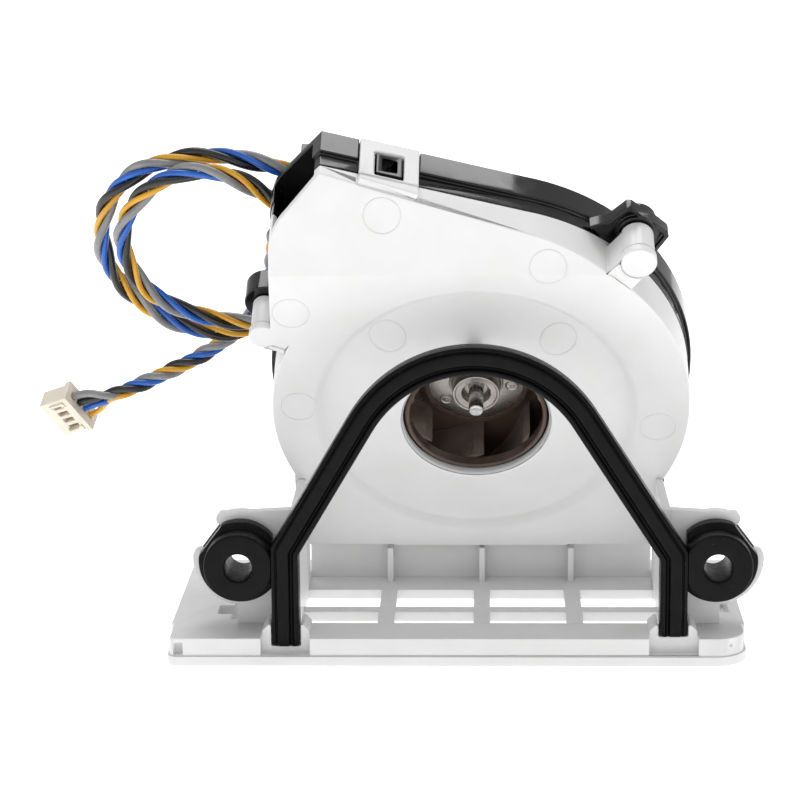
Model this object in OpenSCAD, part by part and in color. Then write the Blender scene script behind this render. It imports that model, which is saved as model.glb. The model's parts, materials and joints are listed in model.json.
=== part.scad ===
// Suction fan module of a floor-cleaning robot: a centrifugal blower that leans over its own
// intake grille. +X is to the right, +Y away from the front, +Z up. The origin is on the
// bottom face of the grille's front bar, 0.5 mm right of the midpoint between the grommets.

/* [Fan] */
// Lean of the fan's front face from the vertical, degrees
fan_lean = 30; // [26:1:32]
// Radius of the volute's round part
scroll_r = 42; // [41.5:0.1:42.4]
// Wall thickness of the two volute shells
wall = 1.5; // [1.2:0.1:1.8]
// Depth of the white front shell, measured from its face
cover_depth = 10; // [9:0.5:11]
// Depth of the whole volute, measured from the same face
fan_depth = 19.6; // [19.6:0.2:21]
// Radius of the inlet opening
inlet_r = 14.75; // [14:0.05:15.5]

/* [Impeller] */
// Outer radius of the impeller
impeller_r = 30; // [28:0.5:31]
// Number of impeller blades
blade_count = 7; // [5:1:9]
// Radius of the motor shaft
shaft_r = 1.5; // [1.5:0.5:1.5]

/* [Base] */
// Width of the base from its left edge to its right edge
base_w = 114; // [112:1:116]
// Height of the base's front bar
base_h = 5.6; // [5:0.1:6]
// Distance between the two grommet axes
grommet_pitch = 93.8; // [93.4:0.1:94.2]
// Height of the grommet axes over the base's bottom face
grommet_z = 19.1; // [18.7:0.1:19.5]

/* [Arch] */
// Height of the arch seal's crown, at the middle of its band
arch_top_z = 60.4; // [60:0.1:61]
// Radius of the arch seal's crown, at the middle of its band
arch_r = 25.5; // [25:0.1:26]
// Width of the arch seal's band
seal_w = 5.4; // [5:0.1:5.8]

/* [Harness] */
// Outer diameter of the twisted harness
cord_d = 3.8; // [3.4:0.1:4]

/* [Hidden] */
$fn = 96;

// The fan's own frame: its origin is where the shaft axis meets the front face, x is to the
// right, y climbs the leaning face and z points out of the inlet along the shaft.
fan_pos = [-0.8, 19.4, 44.4];
scroll_c = [0.9, 0.7];
wide_c = [-1.1, 2.05];
wide_r = scroll_r + 2;
bottom_y = -37.4;
bend_y = 36.7;
bend_angle = 21;
top_tangent = 73.9;
dip = 0.03;
mouth_x = -29.6;
mouth_angle = 138;
corner_c = [-28.9, 40.45];
corner_r = 11;
left_x = -40.4;
left_y = 19;
apron_w = 75;
apron_y = -37.1;
dish_r = 33;
valley_r = 30.6;
valley_z = -1.8;
lip_z = 1.7;

post_right = [31.3, 39.5];
post_left = [-42, 21];
right_seat_z = -9.2;
right_boss_z = -14;
left_seat_z = -10.5;
left_boss_z = -16;
tongue_x = -22.4;
tongue_w = 11.8;
rim_step = 0.9;
step_z = -13.4;

back_z = -12;
back_t = 1.1;
shroud_t = 0.9;
eye_r = 13.4;
blade_root_r = 12.8;
blade_top_z = -2.1;
blade_arc_r = 34.3;
blade_arc_c = 23.3;
blade_t = 0.9;
blade_phase = 130.2;

cup_r = 11;
cup_top_z = -10.1;
cup_low_z = -17.1;
cup_t = 0.8;
motor_hole_r = 15.5;
bracket_r = 19;
bracket_z = -21.6;
board_z = -19.4;
bearing_r = 3;
tube_r = 4;
screw_circle_r = 17.2;

front_y = -6.5;
lip_h = 2;
lip_out = 0.3;
bar_back_y = 4;
base_left = -61.6;
base_right = base_left + base_w;
base_back_y = 50;
grid_z = 2.2;
grid_top_z = 4.2;
rib_x = [-19, 0.3, 19];
side_x = 36;
side_t = 1.5;
side_top_z = 29;
clip_y = 3.75;
clip_t = 2.5;
clip_in_r = 6.45;
clip_out_r = 9.6;
grommet_mid = -0.5;
collar_y = -4;
collar_top_z = 7.6;

arch_x = -1.15;
arch_c_z = arch_top_z - arch_r;
left_reach = 37.05;
left_slope = 59.2;
right_reach = 38.95;
right_slope = 57.2;
leg_x = [arch_x - left_reach, arch_x + right_reach];
seal_front_y = -4.5;
seal_back_y = 0.2;
frame_back_y = 3.65;
foot_left_z = 3.4;
foot_right_z = 5.4;

plug_pos = [-85.3, 51, 39.6];
plug_turn = [-126, 20, 156];
plug_l = 7.4;
plug_w = 9.8;
plug_t = 4.4;
pin_pitch = 2;

// Centreline of the harness from the gland on the motor to the plug: two turns beside the
// outlet, tucked behind the volute, then the tail.
cord_route = [
    [-13.4, 32.5, 69.3], [-17.3, 30.2, 73.3], [-24.5, 27.5, 76.5], [-32, 25, 79.5], [-37.5, 22, 84.5],
    [-42, 19.5, 89], [-48, 17, 93], [-55, 16.5, 94.5], [-62, 17.5, 93], [-67.5, 20, 89],
    [-71, 23, 83.5], [-72, 26.5, 77.5], [-70, 30, 71], [-65.5, 33, 66], [-58.5, 35, 62.5],
    [-50, 36.5, 60.5], [-42, 36, 61], [-34, 35.5, 64.5], [-28, 34, 71], [-25, 31, 78.5],
    [-27, 27.5, 86], [-33, 23.5, 92], [-41, 21, 95], [-50, 20, 97], [-59, 20.5, 96.5],
    [-67, 21.5, 94.5], [-73.5, 24.5, 89], [-76.5, 28.5, 82], [-76.5, 32.5, 74.5],
    [-73.5, 36.5, 68], [-68, 39.5, 62.5], [-61, 41.5, 58.5], [-53, 42.5, 57],
    [-45.5, 42.5, 59], [-37.5, 41.5, 62.5], [-29, 40, 68.5], [-23.5, 37.5, 76],
    [-25.5, 34, 84], [-33, 31.5, 87], [-40, 33.5, 83.5], [-42.5, 38, 77], [-43.5, 42, 69.5],
    [-46, 45, 63], [-51, 47.5, 57], [-58.5, 49, 51.3], [-68, 48.8, 46.6], [-78.4, 48, 42.3],
    [-85.3, 51, 39.6]
];

// ---- shared shapes ----

// Places its children in the fan's own frame.
module on_fan() {
    translate(fan_pos) rotate([90 + fan_lean, 0, 0]) children();
}

// A ring with a square section, from z0 up to z1.
module ring(r_out, r_in, z0, z1) {
    translate([0, 0, z0]) difference() {
        cylinder(r = r_out, h = z1 - z0);
        translate([0, 0, -1]) cylinder(r = r_in, h = z1 - z0 + 2);
    }
}

// A disc from z0 up to z1.
module disc(r, z0, z1) {
    translate([0, 0, z0]) cylinder(r = r, h = z1 - z0);
}

// A plate that stands across X: points are (Y, Z) and it is t thick from x0 on.
module across_x(x0, t, points) {
    translate([x0, 0, 0]) rotate([90, 0, 90]) linear_extrude(t) polygon(points);
}

// A plate that faces the front: children are drawn in (X, Z), from y0 back over t.
module facing_front(y0, t) {
    translate([0, y0 + t, 0]) rotate([90, 0, 0]) linear_extrude(t) children();
}

// Where the volute's straight top wall sits, at x, for an outline grown by grow. The wall
// dips a hair under the arc, so that the two cross cleanly.
function top_dir() = [-sin(top_tangent), cos(top_tangent)];
function top_point(grow) =
    wide_c + (wide_r + grow - dip) * [cos(top_tangent), sin(top_tangent)];
function top_y(x, grow) =
    top_point(grow)[1] + (x - top_point(grow)[0]) * top_dir()[1] / top_dir()[0];

// The volute's round part: a circle, with a wider arc at the upper right.
module round_part(grow) {
    translate(scroll_c) circle(r = scroll_r + grow, $fn = 180);
    translate(wide_c) intersection() {
        circle(r = wide_r + grow, $fn = 180);
        polygon([[0, 0], [80, -29], [80, 80], [0, 80]]);
    }
}

// Outline of the volute: its round part, the straight top wall, and the slanted outlet
// mouth with its round lower corner.
module scroll_outline(grow = 0) {
    round_part(grow);
    translate(corner_c) circle(r = corner_r + grow * 0.3, $fn = 120);
    polygon([
        top_point(grow),
        [mouth_x, top_y(mouth_x, grow)],
        corner_c + (corner_r + grow * 0.3 - dip) * [cos(mouth_angle), sin(mouth_angle)],
        corner_c - [corner_r + grow * 0.3 - dip, 0],
        [left_x - grow * 0.3, left_y],
        scroll_c
    ]);
}

// The air space inside the volute, which runs out through the mouth.
module air_outline() {
    round_part(-wall);
    polygon([
        top_point(-wall - 0.1),
        [mouth_x - 12, top_y(mouth_x - 12, -wall - 0.1)],
        [mouth_x - 16, corner_c[1] + 11.5],
        [left_x + wall + 0.5, corner_c[1] + 3],
        [left_x + wall + 0.3, left_y + 1.5],
        scroll_c
    ]);
}

// Half-space above the bent upper part of the face, which starts at height z0.
module above_bend(z0) {
    translate([-70, bend_y, z0]) rotate([-bend_angle, 0, 0]) cube([140, 60, 40]);
}

// Half-space below the flat foot of the volute.
module below_foot() {
    translate([-60, bottom_y - 20, -60]) cube([120, 20, 100]);
}

// ---- white front shell ----

// Profile of the dished inlet, from the outer rim in to the throat.
module dish() {
    rotate_extrude($fn = 180) polygon([
        [dish_r, 0], [dish_r - 0.8, -0.35], [valley_r + 0.4, valley_z + 0.15],
        [valley_r - 0.8, valley_z], [valley_r - 3, valley_z + 0.35],
        [inlet_r + 2.4, lip_z - 0.75], [inlet_r + 1.1, lip_z - 0.15],
        [inlet_r + 0.5, lip_z], [inlet_r + 0.1, lip_z - 0.3], [inlet_r, lip_z - 0.8],
        [inlet_r, -0.5], [inlet_r + 0.9, -0.5], [valley_r - 3, valley_z - 1.1],
        [valley_r + 0.8, valley_z - 1.4], [dish_r, -wall]
    ]);
}

// A screw post beside the volute, capped at the front, with the arm that carries it.
module post(at, r, low_z) {
    arm = at - scroll_c;
    reach = norm(arm);
    difference() {
        translate([scroll_c[0], scroll_c[1], 0]) rotate([0, 0, atan2(arm[1], arm[0])]) {
            translate([scroll_r - 0.6, -r + 0.1, -cover_depth + 1.6])
                cube([reach - scroll_r + 0.6, 2 * r - 0.2, cover_depth - 1.7]);
            translate([reach, 0, low_z]) cylinder(r = r, h = -low_z - 1);
            translate([reach, 0, -2]) cylinder(r = r + 0.3, h = 2);
        }
        translate([at[0], at[1], low_z - 1]) cylinder(r = 0.95, h = -low_z - 1);
    }
}

// Places its children on the volute's top wall: x runs along the wall and y stands off it.
module on_top_wall() {
    translate([tongue_x, top_y(tongue_x, 0), 0])
        rotate([0, 0, atan(top_dir()[1] / top_dir()[0])]) children();
}

// The snap tongue that reaches back over the black shell and hooks its catch.
module tongue() {
    on_top_wall() difference() {
        union() {
            translate([0, 0.3, -fan_depth]) cube([tongue_w, 1, fan_depth - 5.5]);
            translate([0, -0.8, -8.4]) cube([tongue_w, 2.15, 2.9]);
        }
        translate([3, -2, -16.4]) cube([5.8, 8, 7.2]);
    }
}

module front_cover() {
    color("white") on_fan() {
        difference() {
            union() {
                difference() {
                    translate([0, 0, -cover_depth]) linear_extrude(cover_depth)
                        scroll_outline();
                    above_bend(0);
                    difference() {
                        translate([0, 0, -cover_depth - 1])
                            linear_extrude(cover_depth + 1 - wall) air_outline();
                        above_bend(-wall);
                    }
                    below_foot();
                }
                translate([-apron_w / 2, apron_y, -wall])
                    cube([apron_w, 30, wall]);
                post(post_right, 3.2, right_seat_z + 0.3);
                post(post_left, 2.4, left_seat_z + 0.3);
                difference() {
                    tongue();
                    above_bend(-0.03);
                }
            }
            disc(dish_r, -cover_depth, 5);
        }
        dish();
    }
}

// ---- black rear shell ----

// A boss of the rear shell behind one of the posts, before it is bored.
module rear_boss(at, r, z0, z1) {
    arm = at - scroll_c;
    reach = norm(arm);
    translate([scroll_c[0], scroll_c[1], 0]) rotate([0, 0, atan2(arm[1], arm[0])]) {
        translate([scroll_r - 0.6, -2.4, z0 + 0.4])
            cube([reach - scroll_r, 4.8, -cover_depth - 0.5 - z0 - 0.4]);
        translate([reach, 0, 0]) disc(r, z0, z1);
    }
}

// The flat flange around the right boss, with a raised rim along its free edges.
module right_flange() {
    difference() {
        translate([0, 0, -12.4]) linear_extrude(2.9) polygon([
            [22, 41], [25.9, 42.3], [29.2, 45.6], [30.2, 45.5], [37.2, 39.6], [37.6, 38.4],
            [35.2, 34.4], [28, 33]
        ]);
        translate([0, 0, -10.1]) linear_extrude(1) polygon([
            [22, 40], [26.2, 41.5], [29.4, 44.6], [30, 44.5], [36.3, 39.2], [36.6, 38.5],
            [34.6, 35.2], [28, 33.5]
        ]);
    }
}

// The catch that fills the tongue's window.
module catch() {
    on_top_wall() difference() {
        translate([3.3, -0.5, -16]) cube([5.2, 1.7, 5.9]);
        translate([4.5, 0.6, -14.6]) cube([2.8, 4, 3.6]);
    }
}

// An L-shaped hook on the back of the rear shell, which keeps the harness in place. Its
// post is h tall and its lip reaches towards -x before the turn.
module wire_hook(at, turn, h) {
    translate([at[0], at[1], -fan_depth]) rotate([0, 0, turn]) {
        translate([0, -1.6, -h]) cube([1.8, 3.2, h + 0.5]);
        translate([-4.6, -1.6, -h - 1.4]) cube([6.4, 3.2, 1.5]);
    }
}

// A snap lug at the foot of the rear shell.
module foot_lug(angle) {
    translate([scroll_c[0], scroll_c[1], -14]) rotate([0, 0, angle])
        translate([scroll_r - 0.5, -2.4, 0]) cube([7.2, 4.8, 3.4]);
}

module rear_housing() {
    color("#141416") on_fan() {
        difference() {
            union() {
                translate([0, 0, -fan_depth]) linear_extrude(step_z + fan_depth)
                    scroll_outline(rim_step);
                translate([0, 0, step_z - 0.5])
                    linear_extrude(-cover_depth - 0.05 - step_z + 0.5) scroll_outline();
                rear_boss(post_right, 3.9, right_boss_z, right_seat_z);
                rear_boss(post_left, 4.15, left_boss_z, left_seat_z);
                right_flange();
                foot_lug(218.5);
                foot_lug(-40);
            }
            translate([0, 0, -fan_depth + wall]) linear_extrude(fan_depth)
                air_outline();
            below_foot();
            // Recess that the tongue lies in.
            on_top_wall() translate([-0.2, 0.1, -fan_depth - 1])
                cube([tongue_w + 0.4, 4, fan_depth]);
            disc(motor_hole_r, -fan_depth - 1, -fan_depth + 3);
            for (i = [0:2])
                rotate([0, 0, 30 + 120 * i]) translate([screw_circle_r, 0, -fan_depth - 1])
                    cylinder(r = 0.8, h = 4);
            for (at = [post_right, post_left])
                translate([at[0], at[1], -fan_depth - 1]) cylinder(r = 1.3, h = 12);
            // Room for the left screw's head.
            translate([post_left[0] - 2.2, post_left[1] - 2.6, -fan_depth - 1])
                cube([4.1, 4.8, fan_depth + 0.95 + left_boss_z]);
        }
        for (i = [0:2])
            rotate([0, 0, 30 + 120 * i]) translate([screw_circle_r, 0, 0])
                ring(2, 0.8, -fan_depth + wall - 0.1, -fan_depth + 4.4);
        catch();
        wire_hook([-18.2, 17.2], -90, 5.6);
        wire_hook([-33, 43.6], 90, 9.8);
        wire_hook([-20, 27], 0, 14.6);
    }
}

// ---- white base with the intake grille ----

module intake_grille() {
    cell_bars = [[16.1, 3.5], [31.8, base_back_y - 31.8]];
    color("white") {
        for (bar = cell_bars)
            translate([-side_x, bar[0], grid_z])
                cube([2 * side_x, bar[1], grid_top_z - grid_z]);
        for (x = rib_x)
            translate([x - 1.65, bar_back_y, grid_z])
                cube([3.3, 31.9 - bar_back_y, grid_top_z - grid_z]);
        // Rear rail that the base stands on.
        translate([-side_x, base_back_y - 1.6, 0]) cube([2 * side_x, 1.6, grid_z + 0.1]);
    }
}

// Plan of the front bar between x0 and x1, with round front corners.
module bar_plan(x0, x1, y0, r0, r1) {
    translate([x0 + r0, y0 + r0]) circle(r = r0 + dip);
    translate([x1 - r1, y0 + r1]) circle(r = r1 + dip);
    polygon([
        [x0, y0 + r0], [x0 + r0, y0], [x1 - r1, y0], [x1, y0 + r1], [x1, bar_back_y],
        [x0, bar_back_y]
    ]);
}

// A side plate of the base, between x0 and x1, with the rails under its free edges.
module side_plate(x0, x1, rail_x) {
    long = base_back_y - bar_back_y + 0.1;
    translate([x0, bar_back_y - 0.1, grid_z]) cube([x1 - x0, long, base_h - grid_z]);
    translate([rail_x, bar_back_y - 0.1, 0]) cube([1.6, long, 3]);
    translate([x0, base_back_y - 1.6, 0]) cube([x1 - x0, 1.6, 3]);
}

// The raised collar around a foot of the arch.
module collar(x) {
    facing_front(collar_y - 1, clip_y - collar_y + 1) polygon([
        [x - 4.7, 1], [x + 4.7, 1], [x + 4.7, collar_top_z - 1.2], [x + 3.5, collar_top_z],
        [x - 3.5, collar_top_z], [x - 4.7, collar_top_z - 1.2]
    ]);
}

module intake_base() {
    pocket_w = seal_w + 0.4;
    foot_z = [foot_left_z, foot_right_z];
    color("white") difference() {
        union() {
            linear_extrude(lip_h)
                bar_plan(base_left, base_right, front_y - lip_out, 2.5, 7);
            translate([0, 0, lip_h - 1]) linear_extrude(base_h - lip_h + 1)
                bar_plan(base_left + 0.6, base_right - 0.6, front_y, 1.5, 6);
            side_plate(base_left, -side_x, base_left);
            side_plate(side_x, base_right, base_right - 1.6);
            for (x = leg_x) collar(x);
        }
        // Notches in the front wall, and the slots for the feet of the arch.
        for (i = [0, 1]) {
            translate([leg_x[i] - 4.8, front_y - 3, 2.1]) cube([9.6, collar_y - front_y + 3, 9]);
            translate([leg_x[i] - pocket_w / 2, front_y - 3, foot_z[i] - 0.1])
                cube([pocket_w, clip_y - front_y + 4, 10]);
        }
        // Square recess near the left end and slit near the right end.
        translate([-60, front_y - 1, 2.2]) cube([1.6, 2.6, 2.5]);
        translate([48.6, front_y - 1, 3.9]) cube([1.6, 2.2, 0.4]);
        // Wells under the grommets.
        translate([-50, clip_y + clip_t + 0.3, 2.7]) cube([8, 18, 4]);
        translate([-53, 10, 2.7]) cube([3.1, 6, 4]);
        translate([42, 11.7, 2.7]) cube([8, 12.6, 4]);
    }
}

// A side wall of the intake chamber, from the clip's web back to the fan's face.
module side_wall(x0) {
    face_y = function (z) fan_pos[1] - (z - fan_pos[2]) * tan(fan_lean);
    low_z = fan_pos[2] + apron_y * cos(fan_lean);
    across_x(x0, side_t, [
        [clip_y, base_h], [37.7, base_h], [face_y(low_z) - 0.1, low_z],
        [face_y(side_top_z) - 0.1, side_top_z], [clip_y, side_top_z]
    ]);
}

// The chamber's two side walls, and the upright wall behind the grille with its ribs in
// front and buttresses behind.
module chamber_walls() {
    foot_y = fan_pos[1] - bottom_y * sin(fan_lean);
    foot_z = fan_pos[2] + bottom_y * cos(fan_lean);
    under = function (y) foot_z + (y - foot_y) * tan(fan_lean) - 0.05;
    color("white") {
        for (x = [-side_x - side_t, side_x]) side_wall(x);
        across_x(-side_x, 2 * side_x, [
            [41.5, grid_top_z], [43, grid_top_z], [43, under(43)], [41.5, under(41.5)]
        ]);
        for (x = rib_x) {
            across_x(x - 0.6, 1.2, [
                [37.7, grid_top_z], [41.6, grid_top_z], [41.6, 11.8], [37.8, 11.5]
            ]);
            across_x(x - 0.8, 1.6, [
                [42.9, grid_top_z], [base_back_y, grid_top_z], [base_back_y, 6],
                [47, under(47) - 0.3], [42.9, under(42.9) - 0.3]
            ]);
        }
    }
}

// An open C-clip around a grommet, open towards the outer upper side, with the web that
// ties it to the chamber's side wall.
module clip(side) {
    x = grommet_mid + side * grommet_pitch / 2;
    color("white") difference() {
        union() {
            translate([x, clip_y + clip_t, grommet_z]) rotate([90, 0, 0]) difference() {
                cylinder(r = clip_out_r, h = clip_t);
                translate([0, 0, -1]) linear_extrude(clip_t + 2) polygon([
                    [0, 0], [side * 20 * cos(3), 20 * sin(3)], [side * 24, 24],
                    [side * 20 * cos(66), 20 * sin(66)]
                ]);
            }
            // Round ends of the clip's two hooks.
            for (hook = [[3, 8.3], [66, 8.7]])
                translate([
                    x + side * hook[1] * cos(hook[0]), clip_y + clip_t,
                    grommet_z + hook[1] * sin(hook[0])
                ])
                    rotate([90, 0, 0]) cylinder(r = 1.3, h = clip_t, $fn = 32);
            facing_front(clip_y, clip_t) polygon([
                [side * side_x, base_h], [x + side, base_h],
                [x + side, grommet_z - clip_out_r + 1], [x, grommet_z - clip_out_r + 1],
                [x, grommet_z + clip_out_r - 0.3], [side * side_x, side_top_z]
            ]);
        }
        translate([x, clip_y + clip_t + 1, grommet_z]) rotate([90, 0, 0])
            cylinder(r = clip_in_r, h = clip_t + 2);
        // The side wall's own place.
        translate([side > 0 ? side_x + side_t - 20 : -side_x - side_t, clip_y - 1, 0])
            cube([20, clip_t + 2, 60]);
    }
}

module clip_left() { clip(-1); }
module clip_right() { clip(1); }

// ---- arch ----

// Height of a knee of the arch over the crown's centre.
function knee(reach, slope, grow) =
    (arch_r + grow - sin(slope) * (reach + grow)) / cos(slope);

// Outline of the arch grown by grow from the middle of its band.
module arch_outline(grow) {
    translate([arch_x, arch_c_z]) {
        circle(r = arch_r + grow, $fn = 180);
        polygon([
            (arch_r + grow - dip) * [-sin(left_slope), cos(left_slope)],
            [-left_reach - grow, knee(left_reach, left_slope, grow)],
            [-left_reach - grow, -60], [right_reach + grow, -60],
            [right_reach + grow, knee(right_reach, right_slope, grow)],
            (arch_r + grow - dip) * [sin(right_slope), cos(right_slope)]
        ]);
    }
}

// The band between two offsets of the arch, from its feet up.
module arch_band(grow_in, grow_out) {
    difference() {
        arch_outline(grow_out);
        arch_outline(grow_in);
        translate([-60, foot_left_z - 40]) square([60, 40]);
        translate([0, foot_right_z - 40]) square([60, 40]);
    }
}

module arch_frame() {
    color("white") {
        facing_front(seal_front_y + 2, frame_back_y - seal_front_y - 2)
            arch_band(-1.1, 1.1);
        // Stop on the crown, which ends just short of the inlet's rim.
        face_y = function (z) fan_pos[1] - (z - fan_pos[2]) * tan(fan_lean) - 1.2;
        low_z = arch_top_z - 1;
        high_z = arch_top_z + 1;
        across_x(arch_x - 1.5, 3, [
            [frame_back_y - 0.1, low_z], [face_y(low_z), low_z], [face_y(high_z), high_z],
            [frame_back_y - 0.1, high_z]
        ]);
    }
}

module arch_seal() {
    color("#101012") difference() {
        union() {
            facing_front(seal_front_y, seal_back_y - seal_front_y)
                arch_band(-seal_w / 2, seal_w / 2);
            facing_front(seal_front_y - 0.5, 1) arch_band(-0.7, 0.7);
        }
        facing_front(seal_front_y + 2 - 0.05, 10) arch_band(-1.15, 1.15);
    }
}

// ---- grommets ----

// A vibration grommet. Its front half is flat where it lies along the leg of the arch.
module grommet(side) {
    x = grommet_mid + side * grommet_pitch / 2;
    near = side * (x - leg_x[side > 0 ? 1 : 0]) - seal_w / 2 - 0.1;
    color("#17171a") translate([x, 10, grommet_z]) rotate([90, 0, 0]) difference() {
        rotate_extrude() polygon([
            [2.75, 0], [6.6, 0], [6.8, 0.4], [6.8, 1.6], [8.1, 1.6], [8.2, 1.9], [8.2, 3.5],
            [8, 3.7], [6.4, 3.7], [6.4, 6.3], [8, 6.3], [8.2, 6.6], [8.2, 9.2], [8, 9.5],
            [6.8, 9.5], [6.8, 13.7], [6.5, 14], [2.75, 14]
        ]);
        rotate([0, 0, side > 0 ? 37 : 143]) translate([7.2, -10, -1]) cube([5, 20, 20]);
        translate([side > 0 ? -near - 20 : near, -20, 6]) cube([20, 40, 10]);
    }
}

module grommet_left() { grommet(-1); }
module grommet_right() { grommet(1); }

// ---- rotor ----

// One backward-curved blade in plan: an arc of constant radius between root and tip.
module blade_plan() {
    intersection() {
        translate([blade_arc_c, 0]) difference() {
            circle(r = blade_arc_r + blade_t / 2, $fn = 180);
            circle(r = blade_arc_r - blade_t / 2, $fn = 180);
        }
        difference() {
            circle(r = impeller_r - 0.2);
            circle(r = blade_root_r);
        }
        translate([-40, 0]) square([80, 40]);
    }
}

// Height of the shroud's underside at radius r.
function shroud_z(r) = blade_top_z - (r - 14.3) * 0.17;

module impeller() {
    color("#4a3a32cc") on_fan() {
        rotate_extrude() polygon([
            [9.5, -9.65], [10.6, -9.7], [11.9, -11.1], [12.75, back_z], [impeller_r, back_z],
            [impeller_r, back_z - back_t], [12.4, back_z - back_t], [12.4, -16.4],
            [11.05, -16.4], [11.05, -10.78], [10.2, -10.05], [9.5, -10.05]
        ]);
    }
}

module impeller_blades() {
    color("#4a3a32cc") on_fan() intersection() {
        translate([0, 0, back_z - 1]) linear_extrude(12)
            for (i = [0:blade_count - 1])
                rotate([0, 0, blade_phase + i * 360 / blade_count]) blade_plan();
        rotate_extrude() polygon([
            [10, back_z], [impeller_r, back_z], [impeller_r, shroud_z(impeller_r)],
            [14.3, shroud_z(14.3)], [12, shroud_z(14.3) + 0.1], [10, shroud_z(14.3) + 0.1]
        ]);
    }
}

module impeller_shroud() {
    color("#5a4a42cc") on_fan() rotate_extrude() polygon([
        [eye_r, 0.1], [eye_r + 0.2, 0.3], [eye_r + 0.7, 0.3], [eye_r + 0.9, 0.1],
        [eye_r + 0.9, shroud_z(14.3) + shroud_t], [impeller_r, shroud_z(impeller_r) + shroud_t],
        [impeller_r, shroud_z(impeller_r)], [14.3, shroud_z(14.3)],
        [eye_r, shroud_z(14.3) + 0.15]
    ]);
}

module rotor_hub() {
    color("#8f8c88") on_fan() rotate_extrude() polygon([
        [shaft_r, cup_top_z], [9.3, cup_top_z], [9.3, -9.75], [9.1, -9.6], [5.4, -9.6],
        [4.9, -9.3], [4.8, -6.5], [4.6, -6.3], [3.9, -6.3], [2.4, -7.6], [2.4, -8.6],
        [shaft_r, -8.6]
    ]);
}

module rotor_cup() {
    color("#b9b9bd") on_fan() rotate_extrude() polygon([
        [shaft_r, cup_top_z], [10.2, cup_top_z], [cup_r, cup_top_z - 0.7], [cup_r, cup_low_z],
        [cup_r - cup_t, cup_low_z], [cup_r - cup_t, cup_top_z - cup_t],
        [shaft_r, cup_top_z - cup_t]
    ]);
}

module rotor_magnet() {
    color("#2e2c2a") on_fan()
        ring(cup_r - cup_t, 9.1, cup_low_z + 0.4, cup_top_z - cup_t - 0.6);
}

module shaft() {
    color("#c9c9cc") on_fan() rotate_extrude() polygon([
        [0, -1.3], [shaft_r - 0.2, -1.3], [shaft_r, -1.6], [shaft_r, -21.9],
        [shaft_r - 0.2, -22.2], [0, -22.2]
    ]);
}

// ---- motor stator and bearings ----

module bearing_tube() {
    color("#b08d4a") on_fan() ring(tube_r, bearing_r, -21.4, -11.4);
}

// A small ball bearing with grooves between its rings, from z0 up.
module bearing(z0) {
    color("#c4c4c8") on_fan() rotate_extrude() polygon([
        [shaft_r + 0.02, z0], [1.95, z0], [1.95, z0 + 0.2], [2.55, z0 + 0.2], [2.55, z0],
        [bearing_r, z0], [bearing_r, z0 + 2.5], [2.55, z0 + 2.5], [2.55, z0 + 2.3],
        [1.95, z0 + 2.3], [1.95, z0 + 2.5], [shaft_r + 0.02, z0 + 2.5]
    ]);
}

module front_bearing() { bearing(-14.2); }
module rear_bearing() { bearing(-20.9); }

// A wave washer drawn as its flat working shape, which preloads the front bearing.
module preload_spring() {
    color("#8d8f94") on_fan() ring(2.9, 1.8, -14.5, -14.25);
}

module shaft_clip() {
    color("#5c5d60") on_fan() difference() {
        ring(2.5, shaft_r, -21.6, -21.2);
        translate([0, -0.8, -23]) cube([4, 1.6, 3]);
    }
}

// The nine-tooth lamination stack.
module stator_core() {
    color("#7c7d82") on_fan() difference() {
        union() {
            ring(5.6, tube_r, -16.4, -12.4);
            for (i = [0:8]) rotate([0, 0, i * 40]) {
                translate([5.2, -0.7, -16.4]) cube([3, 1.4, 4]);
                intersection() {
                    ring(8.8, 8, -16.4, -12.4);
                    translate([7, -2.5, -17]) cube([3, 5, 6]);
                }
            }
        }
    }
}

module stator_insulator() {
    color("#e8e6df") on_fan() {
        ring(5.4, tube_r, -12.35, -11.9);
        ring(5.4, tube_r, -16.9, -16.45);
    }
}

module stator_coils() {
    color("#b5652a") on_fan() for (i = [0:8]) rotate([0, 0, i * 40])
        difference() {
            translate([5.75, -1.25, -17]) cube([2.1, 2.5, 5.2]);
            translate([5, -0.75, -16.45]) cube([4, 1.5, 4.1]);
        }
}

module motor_board() {
    color("#1d4d2b") on_fan() difference() {
        disc(14.6, board_z, board_z + 1);
        disc(5.4, board_z - 1, board_z + 2);
    }
}

module board_parts() {
    color("#1a1a1a") on_fan() {
        translate([6.6, -2.5, board_z + 1]) cube([4, 3.2, 0.7]);
        translate([-10.4, -1.6, board_z + 1]) cube([3.2, 3.2, 0.6]);
        for (i = [0:2]) rotate([0, 0, 80 + 35 * i]) translate([12, 0, board_z + 1])
            cube([1.6, 1, 0.6]);
        rotate([0, 0, 130]) translate([8.6, -3, board_z - 1.4]) cube([4.4, 6, 1.4]);
    }
}

// The die-cast plate that closes the motor and carries the bearing tube.
module motor_bracket() {
    color("#9b9da1") on_fan() difference() {
        union() {
            disc(bracket_r, bracket_z, -fan_depth);
            ring(5.2, tube_r, bracket_z, -17);
            disc(7.5, bracket_z - 1.4, bracket_z + 0.1);
            for (i = [0:2]) rotate([0, 0, 30 + 120 * i]) {
                translate([screw_circle_r, 0, bracket_z]) cylinder(r = 3.2, h = 1.6);
                translate([-11.5, 0, -fan_depth - 0.1])
                    cylinder(r = 1.4, h = board_z + fan_depth + 0.05);
            }
            for (i = [0:5]) rotate([0, 0, 60 * i])
                translate([7, -0.6, bracket_z - 0.8]) cube([9, 1.2, 0.9]);
        }
        disc(tube_r, -21.4, -15);
        disc(3.3, -22.6, -21);
        for (i = [0:2]) rotate([0, 0, 30 + 120 * i])
            translate([screw_circle_r, 0, bracket_z - 1]) cylinder(r = 1.1, h = 4);
        // Window for the harness.
        rotate([0, 0, 130]) translate([8.4, -3.4, bracket_z - 3]) cube([12, 6.8, 6]);
    }
}

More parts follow.
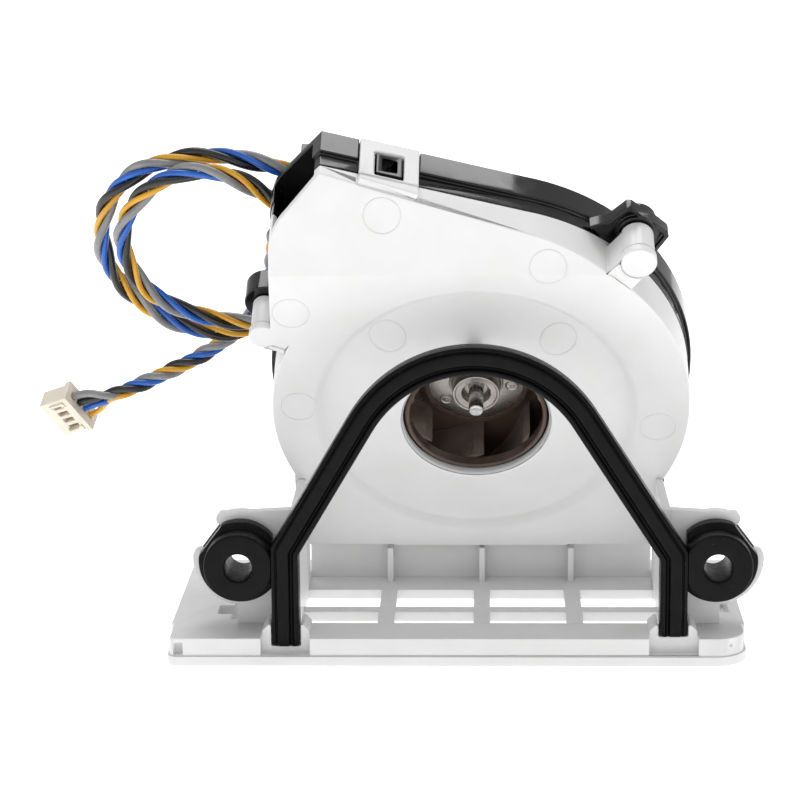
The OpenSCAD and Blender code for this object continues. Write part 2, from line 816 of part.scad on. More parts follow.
// A pan-head screw that enters along +z: z0 is under its head.
module screw(r, head_r, head_h, length, z0) {
    translate([0, 0, z0]) difference() {
        union() {
            cylinder(r = r, h = length);
            translate([0, 0, -head_h]) cylinder(r = head_r, h = head_h);
        }
        for (a = [0, 90]) rotate([0, 0, a])
            translate([-head_r * 0.55, -0.25, -head_h - 0.1])
                cube([head_r * 1.1, 0.5, head_h * 0.6 + 0.1]);
    }
}

module bracket_screws() {
    color("#c8c8cb") on_fan() for (i = [0:2]) rotate([0, 0, 30 + 120 * i])
        translate([screw_circle_r, 0, 0]) screw(0.8, 1.9, 1.2, 5.4, bracket_z);
}

module housing_screws() {
    color("#c8c8cb") on_fan() {
        translate([post_right[0], post_right[1], 0])
            screw(0.95, 1.8, 1.4, -right_boss_z - 3, right_boss_z);
        translate([post_left[0], post_left[1], 0])
            screw(0.95, 1.8, 1.4, -left_boss_z - 3, left_boss_z);
    }
}

// ---- harness ----

module wire_gland() {
    color("#202024") on_fan() rotate([0, 0, 130]) {
        translate([8.5, -3.3, bracket_z - 0.6]) cube([10.4, 6.6, 1.3]);
        translate([10, -2.6, bracket_z - 3.9]) cube([9.6, 5.2, 3.4]);
    }
}

function unit(v) = v / norm(v);

// Direction of the route at point i.
function heading(p, i) =
    unit(p[min(i + 1, len(p) - 1)] - p[max(i - 1, 0)]);

// One sideways direction per point, carried along without twisting.
function carry(p, side, i = 0) =
    i >= len(p) ? []
    : let (h = heading(p, i), s = unit(side - (side * h) * h)) concat([s], carry(p, s, i + 1));

// A closed tube of the given radius and number of sides along the points p.
module tube_along(p, r, sides) {
    s = carry(p, [0, 0, 1]);
    n = len(p);
    rings = [
        for (i = [0:n - 1]) let (h = heading(p, i), u = cross(h, s[i]))
            for (k = [0:sides - 1])
                p[i] + r * (cos(k * 360 / sides) * s[i] + sin(k * 360 / sides) * u)
    ];
    polyhedron(
        points = rings,
        faces = concat(
            [[for (k = [0:sides - 1]) k]],
            [for (i = [0:n - 2]) for (k = [0:sides - 1])
                let (a = i * sides + k, b = i * sides + (k + 1) % sides)
                    [a, a + sides, b + sides, b]],
            [[for (k = [sides - 1:-1:0]) (n - 1) * sides + k]]
        )
    );
}

module harness_cord() {
    color("#3a5aa0") tube_along(cord_route, cord_d / 2, 8);
}

// Places its children on the plug: x runs from the wire side to the mating end.
module on_plug() {
    translate(plug_pos) rotate(plug_turn) children();
}

module plug_housing() {
    color("#efe6d8") on_plug() difference() {
        union() {
            translate([0.1, -plug_w / 2, -plug_t / 2]) cube([plug_l, plug_w, plug_t]);
            translate([0.1, -plug_w / 2 - 0.4, -plug_t / 2 - 0.4])
                cube([1.4, plug_w + 0.8, plug_t + 0.8]);
            translate([1.4, -plug_w / 2 + 0.8, plug_t / 2 - 0.1])
                cube([4, 1, 0.7]);
            translate([1.4, plug_w / 2 - 1.8, plug_t / 2 - 0.1])
                cube([4, 1, 0.7]);
        }
        for (i = [0:3]) {
            y = (i - 1.5) * pin_pitch;
            translate([2.4, y - 0.55, plug_t / 2 - 1.5]) cube([2.6, 1.1, 3]);
            translate([plug_l - 1.9, y - 0.5, -0.5]) cube([4, 1, 1]);
            translate([-1, y - 0.7, -0.7]) cube([1.6, 1.4, 1.4]);
        }
    }
}

module plug_contacts() {
    color("#c9b27a") on_plug() for (i = [0:3]) {
        y = (i - 1.5) * pin_pitch;
        translate([2.6, y - 0.4, plug_t / 2 - 1.45]) cube([2.2, 0.8, 0.5]);
    }
}

front_cover();
rear_housing();
intake_base();
intake_grille();
chamber_walls();
clip_left();
clip_right();
arch_frame();
arch_seal();
grommet_left();
grommet_right();
impeller();
impeller_blades();
impeller_shroud();
rotor_hub();
rotor_cup();
rotor_magnet();
shaft();
bearing_tube();
front_bearing();
rear_bearing();
preload_spring();
shaft_clip();
stator_core();
stator_insulator();
stator_coils();
motor_board();
board_parts();
motor_bracket();
bracket_screws();
housing_screws();
wire_gland();
harness_cord();
plug_housing();
plug_contacts();
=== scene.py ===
"""Looks of the suction fan module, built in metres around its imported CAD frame."""

import json
import math

import bmesh
import bpy
from mathutils import Matrix, Vector


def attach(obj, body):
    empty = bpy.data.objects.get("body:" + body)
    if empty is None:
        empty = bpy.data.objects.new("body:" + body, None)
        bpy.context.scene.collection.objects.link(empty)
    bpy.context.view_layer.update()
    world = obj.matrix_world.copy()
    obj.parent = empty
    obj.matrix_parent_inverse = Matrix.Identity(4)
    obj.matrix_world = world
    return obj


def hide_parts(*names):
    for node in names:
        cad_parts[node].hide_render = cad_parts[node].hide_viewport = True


MM = 0.001
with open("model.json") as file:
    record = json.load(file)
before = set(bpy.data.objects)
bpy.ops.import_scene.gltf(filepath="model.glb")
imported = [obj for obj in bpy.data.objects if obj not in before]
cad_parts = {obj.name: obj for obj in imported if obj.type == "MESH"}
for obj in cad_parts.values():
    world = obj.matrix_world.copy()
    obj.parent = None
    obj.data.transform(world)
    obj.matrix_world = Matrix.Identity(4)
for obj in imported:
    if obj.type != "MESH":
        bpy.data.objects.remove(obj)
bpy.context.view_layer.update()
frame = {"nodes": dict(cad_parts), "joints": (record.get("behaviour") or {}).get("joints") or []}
SPIN = frame["joints"][0]
FAN = Matrix.Translation(Vector(SPIN["pos_m"])) @ Matrix.Rotation(math.radians(120), 4, "X")


# ---- camera ----

# Degrees down, to the left and of roll, then its place, focal length and sensor width in mm.
CAMERA_TURN = (12.5, 1.9, -0.5)
CAMERA_PLACE = (1.5, -511.4, 165.4)
CAMERA_LENS = 121.5
CAMERA_SENSOR = 36


def make_camera():
    """The camera at the photograph's viewing angle."""
    pitch, yaw, roll = (math.radians(a) for a in CAMERA_TURN)
    forward = Vector((
        -math.sin(yaw) * math.cos(pitch), math.cos(yaw) * math.cos(pitch), -math.sin(pitch)
    ))
    level = Vector((math.cos(yaw), math.sin(yaw), 0))
    above = level.cross(forward)
    right = math.cos(roll) * level + math.sin(roll) * above
    up = math.cos(roll) * above - math.sin(roll) * level
    data = bpy.data.cameras.new("camera")
    data.sensor_width = CAMERA_SENSOR
    data.lens = CAMERA_LENS
    cam = bpy.data.objects.new("camera", data)
    cam.matrix_world = Matrix.Translation(Vector(CAMERA_PLACE) * MM) @ Matrix(
        (right, up, -forward)).transposed().to_4x4()
    bpy.context.scene.collection.objects.link(cam)
    bpy.context.scene.camera = cam


# ---- materials ----

class Shader:
    """A Principled material and short ways to add procedural detail to it."""

    def __init__(self, name, color, roughness, **sockets):
        self.material = bpy.data.materials.new(name)
        self.material.use_nodes = True
        self.tree = self.material.node_tree
        self.surface = self.tree.nodes["Principled BSDF"]
        self.color = color
        self.set("Base Color", (*color, 1))
        self.set("Roughness", roughness)
        for socket, value in sockets.items():
            self.set(socket.replace("_", " "), value)
        self.place = self.tree.nodes.new("ShaderNodeTexCoord").outputs["Object"]
        self.normal = None

    def set(self, socket, value):
        self.surface.inputs[socket].default_value = value

    def node(self, kind, links=(), **values):
        made = self.tree.nodes.new("ShaderNode" + kind)
        for key, value in values.items():
            setattr(made, key, value)
        for socket, source in links:
            if hasattr(source, "links"):
                self.tree.links.new(source, made.inputs[socket])
            else:
                made.inputs[socket].default_value = source
        return made

    def link(self, source, socket):
        self.tree.links.new(source, self.surface.inputs[socket])

    def noise(self, size_mm, detail=3, stretch=None):
        """Noise whose grains are about size_mm across."""
        place = self.place
        if stretch:
            place = self.node(
                "VectorMath", [(0, place), (1, stretch)], operation="MULTIPLY"
            ).outputs[0]
        return self.node(
            "TexNoise", [("Vector", place), ("Scale", 1 / (size_mm * MM)), ("Detail", detail)]
        ).outputs["Fac"]

    def spread(self, source, low, high, low_in=0.3, high_in=0.7):
        """The source, stretched from low to high."""
        return self.node("MapRange", [
            ("Value", source), ("From Min", low_in), ("From Max", high_in),
            ("To Min", low), ("To Max", high)
        ]).outputs["Result"]

    def mottle(self, other, size_mm, low_in=0.35, high_in=0.65):
        """Clouds the base colour towards another one."""
        share = self.spread(self.noise(size_mm), 0, 1, low_in, high_in)
        mix = self.node("Mix", data_type="RGBA")
        self.tree.links.new(share, mix.inputs[0])
        mix.inputs[6].default_value = (*self.color, 1)
        mix.inputs[7].default_value = (*other, 1)
        self.link(mix.outputs[2], "Base Color")
        self.last_color = mix
        return self

    def specks(self, other, size_mm, amount):
        """Scatters small specks of another colour over the last colour."""
        dots = self.spread(self.noise(size_mm, 2), 0, 1, 1 - amount, 1 - amount + 0.04)
        mix = self.node("Mix", data_type="RGBA")
        self.tree.links.new(dots, mix.inputs[0])
        self.tree.links.new(self.last_color.outputs[2], mix.inputs[6])
        mix.inputs[7].default_value = (*other, 1)
        self.link(mix.outputs[2], "Base Color")
        self.last_color = mix
        return self

    def rough(self, low, high, size_mm, stretch=None):
        self.link(self.spread(self.noise(size_mm, 4, stretch), low, high), "Roughness")
        return self

    def edges(self, radius_mm):
        """Rounds the edges in the shading."""
        self.normal = self.node("Bevel", [("Radius", radius_mm * MM)], samples=6).outputs[0]
        self.link(self.normal, "Normal")
        return self

    def bump(self, size_mm, depth_mm, strength=1.0, stretch=None):
        bump = self.node("Bump", [
            ("Strength", strength), ("Distance", depth_mm * MM),
            ("Height", self.noise(size_mm, 4, stretch))
        ])
        if self.normal is not None:
            self.tree.links.new(self.normal, bump.inputs["Normal"])
        self.normal = bump.outputs[0]
        self.link(self.normal, "Normal")
        return self


def white_plastic():
    return Shader(
        "white_plastic", (0.83, 0.83, 0.835), 0.36, Subsurface_Weight=0.12,
        Subsurface_Radius=(0.9, 0.9, 0.8), Subsurface_Scale=0.0008, IOR=1.5
    ).mottle((0.80, 0.80, 0.795), 9).rough(0.33, 0.43, 1.2).edges(0.22).bump(0.35, 0.004)


def black_gloss():
    return Shader(
        "black_gloss", (0.003, 0.003, 0.0035), 0.1, IOR=1.42, Coat_Weight=0.25, Coat_Roughness=0.04
    ).mottle((0.005, 0.005, 0.0055), 6).rough(0.09, 0.2, 2.5, (1, 1, 0.3)).edges(0.2).bump(
        2.2, 0.006, 0.5)


def rubber():
    return Shader("rubber", (0.003, 0.003, 0.0034), 0.36, IOR=1.22).mottle(
        (0.005, 0.005, 0.005), 3).specks((0.1, 0.1, 0.1), 0.45, 0.265).rough(
        0.3, 0.46, 0.8).edges(0.15).bump(0.25, 0.012)


def smoky_plastic(name, color, clear):
    return Shader(name, color, 0.14, IOR=1.54, Transmission_Weight=clear).mottle(
        tuple(c * 0.75 for c in color), 7).rough(0.1, 0.22, 1.5).edges(0.2).bump(1.4, 0.004)


def turned_metal(name, color, low, high, **more):
    return Shader(name, color, low, Metallic=1.0, **more).mottle(
        tuple(c * 0.8 for c in color), 2).rough(low, high, 0.5).edges(0.1).bump(0.3, 0.003)


def wire_color(name, color, other):
    return Shader(name, color, 0.3, IOR=1.5, Coat_Weight=0.25, Coat_Roughness=0.2).mottle(
        other, 4).rough(0.24, 0.4, 1.0).bump(0.6, 0.01)


def make_materials():
    grey = wire_color("wire_grey", (0.27, 0.27, 0.275), (0.21, 0.21, 0.215))
    return {
        "white": white_plastic(),
        "gloss": black_gloss(),
        "rubber": rubber(),
        "smoky": smoky_plastic("smoky_plastic", (0.16, 0.10, 0.075), 0.45),
        "blade": smoky_plastic("smoky_blades", (0.42, 0.33, 0.27), 0.55),
        "hub": turned_metal("hub_metal", (0.5, 0.47, 0.44), 0.26, 0.4),
        "steel": turned_metal("steel", (0.62, 0.62, 0.63), 0.2, 0.34),
        "magnet": Shader("magnet", (0.03, 0.028, 0.027), 0.6).mottle(
            (0.05, 0.045, 0.04), 1.5).rough(0.5, 0.7, 0.6).edges(0.15).bump(0.3, 0.02),
        "brass": turned_metal("brass", (0.66, 0.46, 0.2), 0.25, 0.38),
        "copper": turned_metal("copper", (0.66, 0.27, 0.1), 0.25, 0.4),
        "insulator": Shader("insulator", (0.74, 0.72, 0.64), 0.45).mottle(
            (0.7, 0.68, 0.6), 3).rough(0.4, 0.52, 1.0).edges(0.12).bump(0.4, 0.006),
        "board": Shader("board", (0.012, 0.09, 0.03), 0.3, Coat_Weight=0.3).mottle(
            (0.01, 0.07, 0.025), 1.2, 0.47, 0.53).rough(0.25, 0.4, 1.0).edges(0.1).bump(1.2, 0.01),
        "chip": Shader("chip", (0.012, 0.012, 0.012), 0.5).mottle(
            (0.02, 0.02, 0.02), 1).rough(0.42, 0.6, 0.4).edges(0.08).bump(0.2, 0.008),
        "cast": turned_metal("cast_metal", (0.42, 0.43, 0.45), 0.38, 0.55),
        "screw": turned_metal("screw", (0.6, 0.6, 0.62), 0.18, 0.3),
        "ivory": Shader(
            "ivory", (0.80, 0.74, 0.64), 0.42, Subsurface_Weight=0.15,
            Subsurface_Radius=(1.0, 0.8, 0.6), Subsurface_Scale=0.0006
        ).mottle((0.76, 0.69, 0.58), 2.5).rough(0.36, 0.5, 0.8).edges(0.12).bump(0.3, 0.006),
        "contact": turned_metal("contact", (0.6, 0.52, 0.33), 0.25, 0.4),
        "grey": grey.specks((0.05, 0.05, 0.05), 1.3, 0.3),
        "black": wire_color("wire_black", (0.006, 0.006, 0.007), (0.01, 0.01, 0.011)),
        "blue": wire_color("wire_blue", (0.006, 0.12, 0.55), (0.005, 0.095, 0.46)),
        "yellow": wire_color("wire_yellow", (0.75, 0.38, 0.012), (0.68, 0.33, 0.01)),
    }


# ---- mesh helpers ----

def new_object(name, bm, materials, smooth_deg=35):
    """A mesh object from a bmesh, with its normals outward and edges over smooth_deg sharp."""
    bmesh.ops.recalc_face_normals(bm, faces=bm.faces)
    mesh = bpy.data.meshes.new(name)
    bm.to_mesh(mesh)
    bm.free()
    for polygon in mesh.polygons:
        polygon.use_smooth = True
    mesh.set_sharp_from_angle(angle=math.radians(smooth_deg))
    for m in materials:
        mesh.materials.append(LOOKS[m].material)
    made = bpy.data.objects.new(name, mesh)
    bpy.context.scene.collection.objects.link(made)
    return made


def stands_for(piece, body, slot, *nodes):
    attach(piece, body)
    if nodes:
        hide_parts(*nodes)
    return piece


def bridge(bm, rings, closed_ring=True, closed_loop=False, material=0):
    """Faces between rings of vertices."""
    count = len(rings[0])
    pairs = list(zip(rings, rings[1:])) + ([(rings[-1], rings[0])] if closed_loop else [])
    for a, b in pairs:
        for i in range(count if closed_ring else count - 1):
            j = (i + 1) % count
            bm.faces.new((a[i], a[j], b[j], b[i])).material_index = material


def cap(bm, ring, material=0):
    bm.faces.new(ring).material_index = material


def lathe(bm, profile, turns, place, material=0, shape=None):
    """A solid of revolution: profile is a closed loop of (r, z), place maps (x, y, z)."""
    rings = []
    for k in range(turns):
        a = 2 * math.pi * k / turns
        ring = []
        for r, z in profile:
            p = Vector((r * math.cos(a), r * math.sin(a), z))
            if shape:
                p = shape(p)
            ring.append(bm.verts.new(place @ (p * MM)))
        rings.append(ring)
    bridge(bm, rings, closed_loop=True, material=material)


def fillet(points, radius, steps=3):
    """The closed outline with its corners rounded."""
    out = []
    for i, p in enumerate(points):
        before, after = Vector(points[i - 1]), Vector(points[(i + 1) % len(points)])
        p = Vector(p)
        u, v = (before - p), (after - p)
        cut = min(radius, 0.45 * u.length, 0.45 * v.length)
        a, b = p + u.normalized() * cut, p + v.normalized() * cut
        for k in range(steps + 1):
            t = k / steps
            out.append(tuple((1 - t) ** 2 * a + 2 * t * (1 - t) * p + t * t * b))
    return out


# ---- harness ----

ROUTE = [Vector(p) * MM for p in (
    (-13.4, 32.5, 69.3), (-17.3, 30.2, 73.3), (-24.5, 27.5, 76.5), (-32, 25, 79.5),
    (-37.5, 22, 84.5), (-42, 19.5, 89), (-48, 17, 93), (-55, 16.5, 94.5), (-62, 17.5, 93),
    (-67.5, 20, 89), (-71, 23, 83.5), (-72, 26.5, 77.5), (-70, 30, 71), (-65.5, 33, 66),
    (-58.5, 35, 62.5), (-50, 36.5, 60.5), (-42, 36, 61), (-34, 35.5, 64.5), (-28, 34, 71),
    (-25, 31, 78.5), (-27, 27.5, 86), (-33, 23.5, 92), (-41, 21, 95), (-50, 20, 97),
    (-59, 20.5, 96.5), (-67, 21.5, 94.5), (-73.5, 24.5, 89), (-76.5, 28.5, 82),
    (-76.5, 32.5, 74.5), (-73.5, 36.5, 68), (-68, 39.5, 62.5), (-61, 41.5, 58.5),
    (-53, 42.5, 57), (-45.5, 42.5, 59), (-37.5, 41.5, 62.5), (-29, 40, 68.5),
    (-23.5, 37.5, 76), (-25.5, 34, 84), (-33, 31.5, 87), (-40, 33.5, 83.5), (-42.5, 38, 77),
    (-43.5, 42, 69.5), (-46, 45, 63), (-51, 47.5, 57), (-58.5, 49, 51.3), (-68, 48.8, 46.6),
    (-78.4, 48, 42.3), (-85.3, 51, 39.6)
)]
# Colour, radius and place round the bundle of each wire, and its place along the plug's row.
WIRES = (
    ("grey", 0.82, 270, -3), ("black", 0.84, 90, -1), ("blue", 0.64, 180, 1), ("yellow", 0.6, 0, 3)
)
WIRE_SIDES = 12
STEP = 0.8 * MM
# The untwisting tail, the stretch over which it starts, and where the wires part at the plug.
TAIL = 86 * MM
TAIL_START = 20 * MM
FAN_OUT = 13 * MM
# Length of one turn of the twist in mm, in the bundle and in its tail.
TURN, TAIL_TURN = 25, 14
# How far a wire's centre lies from the bundle's in mm, how much less in the tail, and the
# size and wavelength of its wander.
REACH, TAIL_CLOSER = 1.08, 0.1
WANDER, WANDER_WAVE = 0.16, 31 * MM
PLUG_TURN = (-126, 20, 156)


def smooth_line(points, step):
    """A Catmull-Rom curve through the points, with points about step apart."""
    line = []
    last = len(points) - 1
    for i in range(last):
        a = points[i - 1] if i else 2 * points[0] - points[1]
        b, c = points[i], points[i + 1]
        d = points[i + 2] if i + 2 <= last else 2 * points[-1] - points[-2]
        count = max(2, round((c - b).length / step))
        for k in range(count):
            t = k / count
            line.append(0.5 * (
                2 * b + (c - a) * t + (2 * a - 5 * b + 4 * c - d) * t * t
                + (3 * b - a - 3 * c + d) * t ** 3
            ))
    line.append(points[-1].copy())
    return line


def carried(line, side):
    """Tangent, side and up at each point, carried along without twisting."""
    frames = []
    for i in range(len(line)):
        ahead = (line[min(i + 1, len(line) - 1)] - line[max(i - 1, 0)]).normalized()
        side = (side - side.dot(ahead) * ahead).normalized()
        frames.append((ahead, side, ahead.cross(side)))
    return frames


def ease(t):
    t = min(max(t, 0), 1)
    return t * t * (3 - 2 * t)


def plug_axes():
    """The plug's own directions, turned as part.scad turns it: along, across its row, up."""
    x, y, z = (math.radians(a) for a in PLUG_TURN)
    turn = Matrix.Rotation(z, 3, "Z") @ Matrix.Rotation(y, 3, "Y") @ Matrix.Rotation(x, 3, "X")
    return turn.col[0].copy(), turn.col[1].copy(), turn.col[2].copy()


def make_harness():
    """Four twisted wires that untwist in front of the plug."""
    line = smooth_line(ROUTE, STEP)
    frames = carried(line, Vector((0, 0, 1)))
    along = [0.0]
    for a, b in zip(line, line[1:]):
        along.append(along[-1] + (b - a).length)
    total = along[-1]
    tails = [ease((at - (total - TAIL)) / TAIL_START) for at in along]
    angle = [0.0]
    for i in range(1, len(line)):
        pitch = (TURN * (1 - tails[i]) + TAIL_TURN * tails[i]) * MM
        angle.append(angle[-1] + 2 * math.pi * (along[i] - along[i - 1]) / pitch)
    plug_ahead, row, plug_up = plug_axes()
    bm = bmesh.new()
    for index, (_, radius, phase, pin) in enumerate(WIRES):
        centres = []
        for i, p in enumerate(line):
            _, side, up = frames[i]
            wander = WANDER * math.sin(along[i] / WANDER_WAVE + 1.7 * index) * (1 - tails[i])
            reach = (REACH - TAIL_CLOSER * tails[i] + wander) * MM
            a = angle[i] + math.radians(phase)
            twisted = p + reach * (math.cos(a) * side + math.sin(a) * up)
            left = total - along[i]
            parallel = line[-1] - plug_ahead * left + row * pin * MM
            share = ease(1 - left / FAN_OUT)
            centres.append(twisted.lerp(parallel, share))
        rings = []
        for i, (_, side, up) in enumerate(carried(centres, Vector((0, 0, 1)))):
            ring = []
            for k in range(WIRE_SIDES):
                a = 2 * math.pi * k / WIRE_SIDES
                ring.append(bm.verts.new(
                    centres[i] + radius * MM * (math.cos(a) * side + math.sin(a) * up)))
            rings.append(ring)
        bridge(bm, rings, material=index)
        cap(bm, rings[0], index)
        cap(bm, rings[-1], index)
    wires = new_object("harness_wires", bm, [w[0] for w in WIRES], 50)
    stands_for(wires, "housing", "wire", "harness_cord")
    return wires, line, total


# ---- arch seal ----

# The crown's middle, radius and height, then reach, slope and foot of the left and right leg.
ARCH = {
    "x": -1.15, "r": 25.5, "top": 60.4,
    "reach": (37.05, 38.95), "slope": (59.2, 57.2), "low": (3.4, 5.4)
}


def arch_leg(side):
    """Stations of one leg from its foot up to its knee: side is 0 at the left, 1 at the right."""
    sign, reach, low = (-1, 1)[side], ARCH["reach"][side], ARCH["low"][side]
    slope = math.radians(ARCH["slope"][side])
    half = (math.pi / 2 - slope) / 2
    x = ARCH["x"] + sign * reach
    knee = ARCH["top"] - ARCH["r"] + (ARCH["r"] - math.sin(slope) * reach) / math.cos(slope)
    stations = [((x, z), (sign, 0), 1) for z in (low, low + 0.3, low + 0.7, 10, 16)]
    stations.append(((x, knee), (sign * math.cos(half), math.sin(half)), 1 / math.cos(half)))
    return stations


def arch_path():
    """Middle of the arch's band from the left foot to the right one, with outward normals."""
    left, right = (math.radians(a) for a in ARCH["slope"])
    centre_z = ARCH["top"] - ARCH["r"]
    crown = []
    for k in range(61):
        a = -left + (left + right) * k / 60
        n = (math.sin(a), math.cos(a))
        crown.append(((ARCH["x"] + ARCH["r"] * n[0], centre_z + ARCH["r"] * n[1]), n, 1))
    return arch_leg(0) + crown + arch_leg(1)[::-1]


def make_arch_seal():
    """The rubber seal: one profile with a flat bead and two ridges, swept over the arch."""
    outline = fillet([
        (2.7, 0.2), (2.7, -4.2), (2.1, -4.45), (1.75, -4.1), (1.45, -4.95), (-0.7, -4.95),
        (-1.0, -4.05), (-1.4, -4.05), (-1.7, -4.95), (-2.25, -4.95), (-2.7, -4.4),
        (-2.7, 0.2), (-1.15, 0.2), (-1.15, -2.5), (1.15, -2.5), (1.15, 0.2)
    ], 0.22)
    bm = bmesh.new()
    rings = []
    stations = arch_path()
    for i, ((x, z), n, stretch) in enumerate(stations):
        end = min(i, len(stations) - 1 - i)
        shrink = (0.86, 0.97, 1)[min(end, 2)]
        ring = []
        for across, y in outline:
            offset = across * shrink * stretch
            depth = y if y > -4 else -4 + (y + 4) * (1 if shrink == 1 else shrink - 0.3)
            ring.append(bm.verts.new(Vector((x + offset * n[0], depth, z + offset * n[1])) * MM))
        rings.append(ring)
    bridge(bm, rings)
    cap(bm, rings[0])
    cap(bm, rings[-1])
    seal = new_object("arch_seal_rubber", bm, ["rubber"], 38)
    stands_for(seal, "housing", "rubber", "arch_seal")


# ---- grommets ----

# Half the distance between the two, their middle and height, and the back end, in mm.
GROMMET_HALF, GROMMET_MID, GROMMET_Z, GROMMET_BACK = 46.9, -0.5, 19.1, 10
# How far the outer upper flat lies from the bore, and where along it the leg's flat starts.
OUTER_FLAT, LEG_FLAT_FROM = 7.2, 6


def make_grommet(node, side, leg_flat, outer_angle):
    """A rubber grommet with a flat on its outer upper side and one along the arch's leg."""
    place = Matrix.Translation(Vector((
        side * GROMMET_HALF + GROMMET_MID, GROMMET_BACK, GROMMET_Z
    )) * MM) @ Matrix.Rotation(math.radians(90), 4, "X")
    flat = math.radians(outer_angle)
    away = Vector((math.cos(flat), math.sin(flat), 0))

    def flattened(p):
        over = p.dot(away) - OUTER_FLAT
        if over > 0:
            p = p - away * over
        if p.z > LEG_FLAT_FROM and -side * p.x > leg_flat:
            p.x = -side * leg_flat
        return p

    outline = fillet([
        (2.75, 0), (6.8, 0), (6.8, 1.6), (8.2, 1.6), (8.2, 3.7), (6.4, 3.7), (6.4, 6.3),
        (8.2, 6.3), (8.2, 9.5), (6.8, 9.5), (6.8, 14), (2.75, 14)
    ], 0.5, 4)
    bm = bmesh.new()
    lathe(bm, outline, 120, place, shape=flattened)
    grommet = new_object(node + "_rubber", bm, ["rubber"], 40)
    stands_for(grommet, "housing", "rubber", node)


# ---- rotor ----

MARK_ANGLES, MARK_R = (-4, 214), 7.3


def make_hub():
    """The turned hub: disc, collar, and the two small witness marks on its face."""
    bm = bmesh.new()
    lathe(bm, fillet([
        (1.5, -10.1), (9.3, -10.1), (9.3, -9.6), (5.6, -9.6), (5.15, -9.8), (4.8, -9.5),
        (4.8, -6.3), (4.3, -6.3), (4.2, -6.6), (3.0, -6.6), (2.4, -7.6), (2.4, -8.6), (1.5, -8.6)
    ], 0.14), 96, FAN)
    for angle in MARK_ANGLES:
        a = math.radians(angle)
        mark = Vector((MARK_R * math.cos(a), MARK_R * math.sin(a), 0)) * MM
        place = FAN @ Matrix.Translation(mark)
        lathe(bm, fillet([
            (0.14, -9.58), (0.3, -9.5), (0.42, -9.58), (1.05, -9.58), (1.2, -9.44), (1.35, -9.58),
            (1.35, -9.62), (0.14, -9.62)
        ], 0.04, 2), 32, place)
    hub = new_object("rotor_hub_turned", bm, ["hub"], 35)
    stands_for(hub, "rotor", "hub_metal", "rotor_hub")


def make_shaft():
    """The ground shaft with its chamfered, slightly domed end."""
    bm = bmesh.new()
    outline = [(0.02, -1.24), (0.8, -1.27), (1.2, -1.32), (1.38, -1.42), (1.47, -1.56), (1.5, -1.7),
               (1.5, -21.8), (1.4, -22.1), (1.2, -22.2), (0.02, -22.2)]
    lathe(bm, outline, 64, FAN)
    shaft = new_object("shaft_ground", bm, ["steel"], 35)
    stands_for(shaft, "rotor", "steel", "shaft")


# ---- cover marks ----

# The face's height above its flat, by distance from the axis, and where and how it bends.
DISH = (
    (0, 1.5), (15.85, 1.5), (17.15, 0.95), (27.6, -1.45), (29.8, -1.8), (31, -1.65), (32.2, -0.35),
    (33, 0), (90, 0)
)
BEND_Y, BEND = 36.7, math.radians(21)
WITNESS_MARKS = (
    (-36.1, 27.2), (-35.7, 2.5), (-17.4, 20.3), (16.3, 19.6), (36.7, -3.2), (14, 38.3),
    (-17.8, 48.8)
)


def on_cover(p):
    """A point over the flat face, laid on the dished and bent cover."""
    r = math.hypot(p.x, p.y)
    for (r0, z0), (r1, z1) in zip(DISH, DISH[1:]):
        if r0 <= r <= r1:
            p = Vector((p.x, p.y, p.z + z0 + (z1 - z0) * (r - r0) / (r1 - r0)))
            break
    along = p.y - BEND_Y
    if along > 0:
        p = Vector((
            p.x, BEND_Y + along * math.cos(BEND) + p.z * math.sin(BEND),
            p.z * math.cos(BEND) - along * math.sin(BEND)
        ))
    return p


def make_cover_marks():
    """The faint round witness lines on the moulded cover."""
    bm = bmesh.new()
    for x, y in WITNESS_MARKS:
        centre = Vector((x, y, 0))
        lathe(bm, [(3.42, -0.04), (3.5, 0.04), (3.6, 0.06), (3.7, 0.04), (3.78, -0.04)], 96, FAN,
              shape=lambda p: on_cover(p + centre))
    marks = new_object("cover_witness_marks", bm, ["white"], 60)
    stands_for(marks, "housing", "white_plastic")


# ---- rounded copies of CAD shells ----

WELD = 0.0005 * MM
FLAT_ANGLE = math.radians(0.6)
EDGE_ANGLE = math.radians(32)


def rounded_copy(node, slot, look, width):
    """A copy of a CAD node with its sharp edges rounded, which stands for the node."""
    mesh = frame["nodes"][node].data.copy()
    bm = bmesh.new()
    bm.from_mesh(mesh)
    bmesh.ops.remove_doubles(bm, verts=bm.verts, dist=WELD)
    bmesh.ops.dissolve_limit(bm, angle_limit=FLAT_ANGLE, verts=bm.verts, edges=bm.edges)
    bm.to_mesh(mesh)
    bm.free()
    mesh.materials.clear()
    mesh.materials.append(LOOKS[look].material)
    for polygon in mesh.polygons:
        polygon.use_smooth = True
    mesh.set_sharp_from_angle(angle=EDGE_ANGLE)
    piece = bpy.data.objects.new(node + "_moulded", mesh)
    bpy.context.scene.collection.objects.link(piece)
    bevel = piece.modifiers.new("rounding", "BEVEL")
    bevel.width = width * MM
    bevel.segments = 2
    bevel.limit_method = "ANGLE"
    bevel.angle_limit = EDGE_ANGLE
    bevel.use_clamp_overlap = False
    bevel.miter_outer = "MITER_ARC"
    bevel.harden_normals = True
    dg = bpy.context.evaluated_depsgraph_get()
    final = bpy.data.meshes.new_from_object(piece.evaluated_get(dg))
    piece.modifiers.clear()
    piece.data = final
    return stands_for(piece, "housing", slot, node)


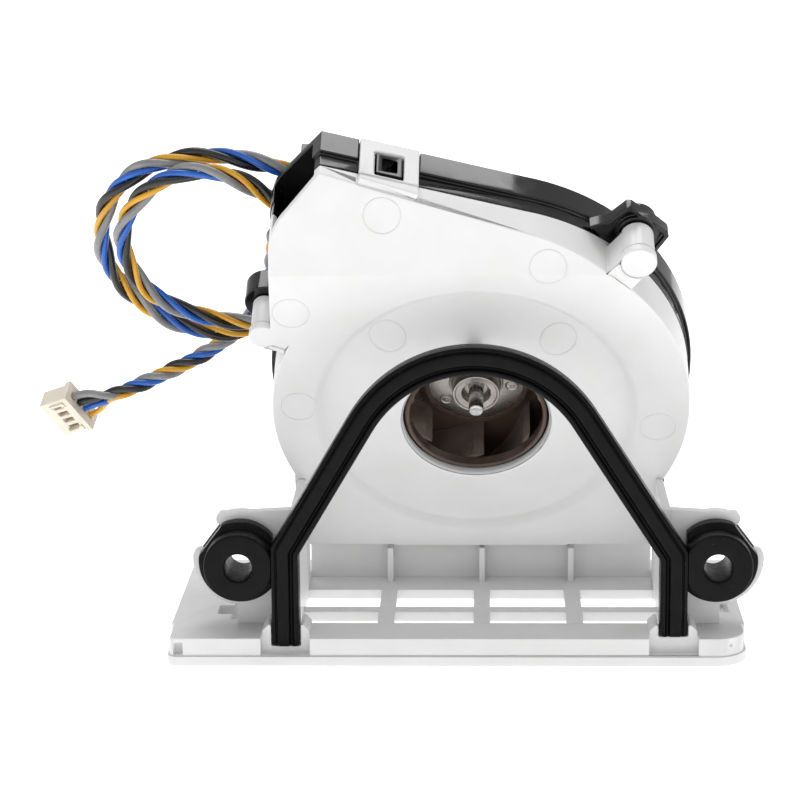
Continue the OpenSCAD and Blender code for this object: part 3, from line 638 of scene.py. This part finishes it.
# The looks of the CAD nodes that are shown as they are.
NODE_LOOKS = {
    "intake_grille": "white", "chamber_walls": "white", "clip_left": "white",
    "clip_right": "white", "arch_frame": "white", "impeller": "smoky",
    "impeller_blades": "blade", "impeller_shroud": "smoky",
    "rotor_cup": "steel", "rotor_magnet": "magnet", "bearing_tube": "brass",
    "front_bearing": "steel", "rear_bearing": "steel", "preload_spring": "steel",
    "shaft_clip": "steel", "stator_core": "steel", "stator_insulator": "insulator",
    "stator_coils": "copper", "motor_board": "board", "board_parts": "chip",
    "motor_bracket": "cast", "bracket_screws": "screw", "housing_screws": "screw",
    "wire_gland": "rubber", "plug_contacts": "contact",
}


def dress_cad_nodes():
    for node, look in NODE_LOOKS.items():
        shown = frame["nodes"][node]
        shown.data.materials.clear()
        shown.data.materials.append(LOOKS[look].material)


# ---- stage ----

# Name, place, aim and size of each soft box in metres, and its power in watts.
LAMPS = (
    ("key", (-0.35, -0.55, 0.75), (0, 0.02, 0.04), (0.5, 0.4), 0.45),
    ("top", (-0.05, 0.35, 0.8), (0, 0.03, 0.06), (0.6, 0.35), 3.0),
    ("fill", (0.6, -0.5, 0.35), (0, 0.02, 0.04), (0.4, 0.4), 0.3),
)
WORLD_STRENGTH, FLOOR_EMISSION, FLOOR_HALF = 0.55, 0.75, 30


def make_stage():
    """A pale floor, soft boxes and a bright studio."""
    bm = bmesh.new()
    bmesh.ops.create_grid(bm, x_segments=1, y_segments=1, size=FLOOR_HALF)
    mesh = bpy.data.meshes.new("floor")
    bm.to_mesh(mesh)
    bm.free()
    floor = bpy.data.objects.new("floor", mesh)
    floor.location = (0, 1.5, -0.0001)
    look = Shader("floor", (0.95, 0.95, 0.95), 0.9)
    look.set("Emission Color", (1, 1, 1, 1))
    look.set("Emission Strength", FLOOR_EMISSION)
    mesh.materials.append(look.material)
    bpy.context.scene.collection.objects.link(floor)
    world = bpy.data.worlds.new("studio")
    world.use_nodes = True
    world.node_tree.nodes["Background"].inputs[0].default_value = (1, 1, 1, 1)
    world.node_tree.nodes["Background"].inputs[1].default_value = WORLD_STRENGTH
    bpy.context.scene.world = world
    for name, place, aim, size, power in LAMPS:
        lamp = bpy.data.lights.new(name, "AREA")
        lamp.shape = "RECTANGLE"
        lamp.size, lamp.size_y = size
        lamp.energy = power
        light = bpy.data.objects.new(name, lamp)
        light.location = place
        light.rotation_euler = (Vector(aim) - Vector(place)).to_track_quat("-Z", "Y").to_euler()
        bpy.context.scene.collection.objects.link(light)
    bpy.context.scene.view_settings.view_transform = "Standard"


make_camera()
LOOKS = make_materials()
wires, wire_line, wire_length = make_harness()
dress_cad_nodes()
make_arch_seal()
make_grommet("grommet_left", -1, 6.4, 143)
make_grommet("grommet_right", 1, 5.8, 37)
make_hub()
make_shaft()
make_cover_marks()
for shell, look, slot, width in (
    ("front_cover", "white", "white_plastic", 0.3), ("rear_housing", "gloss", "black_gloss", 0.22),
    ("intake_base", "white", "white_plastic", 0.16)
):
    rounded_copy(shell, slot, look, width)
plug = rounded_copy("plug_housing", "ivory", "ivory", 0.14)
make_stage()
